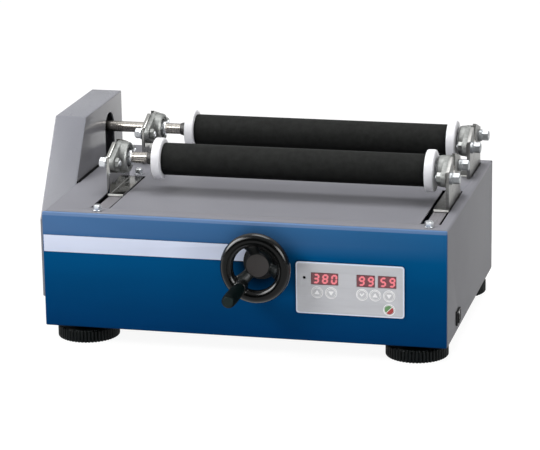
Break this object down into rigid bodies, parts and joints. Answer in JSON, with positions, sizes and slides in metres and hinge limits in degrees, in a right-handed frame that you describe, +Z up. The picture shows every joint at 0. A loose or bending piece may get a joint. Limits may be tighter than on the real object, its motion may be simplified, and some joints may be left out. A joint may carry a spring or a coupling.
{
  "type": "pot mill rotator",
  "caption": "Bench-top jar rotator: box base with handwheel and control plate, driven rubber roller, sliding rubber roller with end rings, belt housing on the side.",
  "frame": {"origin": "on the table under the middle of the whole", "axes": "+X to the right of the blue front panel, +Y to the back, +Z up"},
  "size_m": [0.472, 0.3862, 0.2075],
  "materials": {
    "grey_paint": "satin",
    "light_grey_paint": "satin",
    "blue_paint": "satin",
    "black_rubber": "matte",
    "black_plastic": "glossy",
    "white_plastic": "smooth",
    "stainless_steel": "brushed",
    "zinc_plate": "zinc plated",
    "cast_iron": "painted",
    "silver_plate": "satin",
    "red_window": "tinted",
    "label_white": "satin"
  },
  "bodies": {
    "base": {"base_cover": "grey_paint", "front_panel": "blue_paint", "chassis": "grey_paint", "control_plate": "silver_plate", "display_module": "red_window", "drive_cover": "light_grey_paint", "drive_belt": "black_rubber", "switch_body": "black_plastic", "gear_motor": "cast_iron", "screw_bush": "black_plastic", "label_stripe": "label_white", "power_inlet": "black_plastic", "guide_rail_left": "stainless_steel", "rail_bolt_front_left": "zinc_plate", "rail_bolt_middle_left": "zinc_plate", "fixed_bracket_left": "stainless_steel", "rear_bearing_left": "cast_iron", "rear_bearing_bolt_near_left": "zinc_plate", "rear_bearing_bolt_far_left": "zinc_plate", "guide_rail_right": "stainless_steel", "rail_bolt_front_right": "zinc_plate", "rail_bolt_middle_right": "zinc_plate", "fixed_bracket_right": "stainless_steel", "rear_bearing_right": "cast_iron", "rear_bearing_bolt_near_right": "zinc_plate", "rear_bearing_bolt_far_right": "zinc_plate"},
    "carriage": {"cross_slide": "zinc_plate", "sliding_bracket_left": "stainless_steel", "front_bearing_left": "cast_iron", "front_bearing_bolt_near_left": "zinc_plate", "front_bearing_bolt_far_left": "zinc_plate", "sliding_bracket_right": "stainless_steel", "front_bearing_right": "cast_iron", "front_bearing_bolt_near_right": "zinc_plate", "front_bearing_bolt_far_right": "zinc_plate"},
    "front_roller": {"front_shaft": "stainless_steel", "front_roller": "black_rubber", "front_ring_left": "white_plastic", "front_ring_right": "white_plastic"},
    "rear_roller": {"rear_shaft": "stainless_steel", "rear_roller": "black_rubber", "rear_ring_left": "white_plastic", "rear_ring_right": "white_plastic", "roller_pulley": "cast_iron"},
    "motor_pulley": {"motor_pulley": "cast_iron"},
    "handwheel": {"handwheel": "black_plastic", "lead_screw": "stainless_steel"},
    "grip": {"grip": "black_plastic"},
    "switch_rocker": {"switch_rocker": "black_plastic"},
    "foot_front_left": {"foot_front_left": "black_rubber"},
    "foot_front_right": {"foot_front_right": "black_rubber"},
    "foot_rear_left": {"foot_rear_left": "black_rubber"},
    "foot_rear_right": {"foot_rear_right": "black_rubber"},
    "key_speed_up": {"key_speed_up": "white_plastic"},
    "key_speed_down": {"key_speed_down": "white_plastic"},
    "key_timer_set": {"key_timer_set": "white_plastic"},
    "key_time_up": {"key_time_up": "white_plastic"},
    "key_time_down": {"key_time_down": "white_plastic"},
    "key_start_stop": {"key_start_stop": "white_plastic"}
  },
  "joints": [
    {"name": "carriage_slide", "type": "slide", "parent": "base", "child": "carriage", "axis": [0, -1, 0], "range_m": [0, 0.046]},
    {"name": "handwheel_turn", "type": "hinge", "parent": "base", "child": "handwheel", "pos_m": [0.03744, -0.11115, 0.1022], "axis": [0, 1, 0], "range_deg": [0, 4141]},
    {"name": "grip_spin", "type": "hinge", "parent": "handwheel", "child": "grip", "pos_m": [0.02203, -0.17115, 0.08175], "axis": [0, 1, 0], "continuous": true},
    {"name": "front_roller_spin", "type": "hinge", "parent": "carriage", "child": "front_roller", "pos_m": [0.00003, 0.00085, 0.1781], "axis": [1, 0, 0], "continuous": true},
    {"name": "rear_roller_spin", "type": "hinge", "parent": "base", "child": "rear_roller", "pos_m": [0.00003, 0.13685, 0.1781], "axis": [1, 0, 0], "continuous": true},
    {"name": "motor_pulley_spin", "type": "hinge", "parent": "base", "child": "motor_pulley", "pos_m": [-0.21496, 0.13685, 0.0558], "axis": [1, 0, 0], "continuous": true},
    {"name": "power_rocker_tilt", "type": "hinge", "parent": "base", "child": "switch_rocker", "pos_m": [0.23203, -0.04515, 0.0335], "axis": [0, 0, 1], "range_deg": [-16, 0]},
    {"name": "foot_front_left_turn", "type": "hinge", "parent": "base", "child": "foot_front_left", "pos_m": [-0.16296, -0.07615, 0.009], "axis": [0, 0, 1], "continuous": true},
    {"name": "foot_front_right_turn", "type": "hinge", "parent": "base", "child": "foot_front_right", "pos_m": [0.19503, -0.07615, 0.009], "axis": [0, 0, 1], "continuous": true},
    {"name": "foot_rear_left_turn", "type": "hinge", "parent": "base", "child": "foot_rear_left", "pos_m": [-0.16547, 0.15585, 0.009], "axis": [0, 0, 1], "continuous": true},
    {"name": "foot_rear_right_turn", "type": "hinge", "parent": "base", "child": "foot_rear_right", "pos_m": [0.19753, 0.15585, 0.009], "axis": [0, 0, 1], "continuous": true},
    {"name": "key_speed_up_press", "type": "slide", "parent": "base", "child": "key_speed_up", "axis": [0, 1, 0], "range_m": [0, 0.0004], "stiffness_N_per_m": 400, "springref_m": -0.001},
    {"name": "key_speed_down_press", "type": "slide", "parent": "base", "child": "key_speed_down", "axis": [0, 1, 0], "range_m": [0, 0.0004], "stiffness_N_per_m": 400, "springref_m": -0.001},
    {"name": "key_timer_set_press", "type": "slide", "parent": "base", "child": "key_timer_set", "axis": [0, 1, 0], "range_m": [0, 0.0004], "stiffness_N_per_m": 400, "springref_m": -0.001},
    {"name": "key_time_up_press", "type": "slide", "parent": "base", "child": "key_time_up", "axis": [0, 1, 0], "range_m": [0, 0.0004], "stiffness_N_per_m": 400, "springref_m": -0.001},
    {"name": "key_time_down_press", "type": "slide", "parent": "base", "child": "key_time_down", "axis": [0, 1, 0], "range_m": [0, 0.0004], "stiffness_N_per_m": 400, "springref_m": -0.001},
    {"name": "key_start_stop_press", "type": "slide", "parent": "base", "child": "key_start_stop", "axis": [0, 1, 0], "range_m": [0, 0.0004], "stiffness_N_per_m": 400, "springref_m": -0.001}
  ],
  "couplings": [
    {"joint": "handwheel_turn", "follows": "carriage_slide", "rad_per_m": 1570.8},
    {"joint": "motor_pulley_spin", "follows": "rear_roller_spin", "ratio": 1.5}
  ]
}
